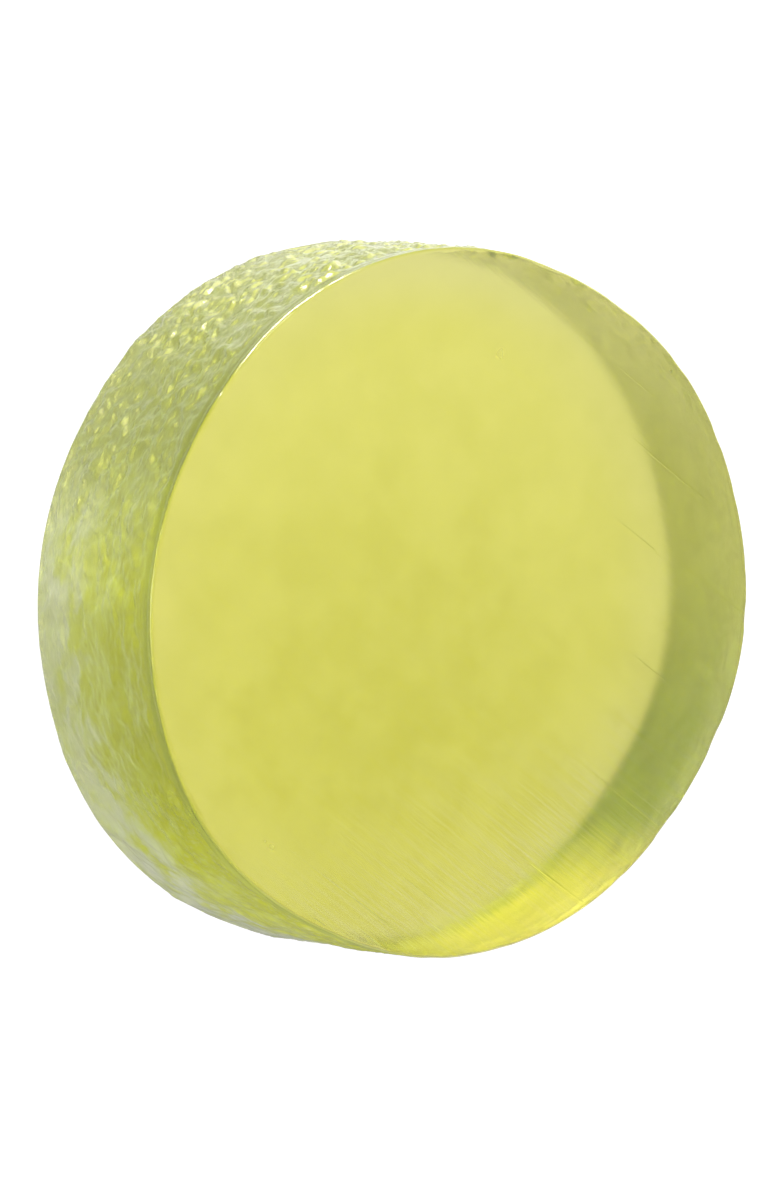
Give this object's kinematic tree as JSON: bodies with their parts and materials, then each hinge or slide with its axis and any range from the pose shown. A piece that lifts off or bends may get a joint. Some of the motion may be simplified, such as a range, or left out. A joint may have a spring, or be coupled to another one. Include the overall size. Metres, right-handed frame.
{
  "type": "shaving soap puck",
  "caption": "Round puck of translucent yellow-green glycerine shaving soap, with flat cut faces and a crinkled cast rim.",
  "frame": {"origin": "middle of the back face, which the puck lies on", "axes": "+Z is the puck's axis, from the back face to the cut face; X and Y lie in the back face"},
  "size_m": [0.0632, 0.0638, 0.019],
  "materials": {
    "glycerine_soap": "translucent yellow-green cast glycerine soap, satin cut faces, crinkled glossy rim"
  },
  "bodies": {
    "root": {"soap_puck": "glycerine_soap"}
  },
  "joints": []
}
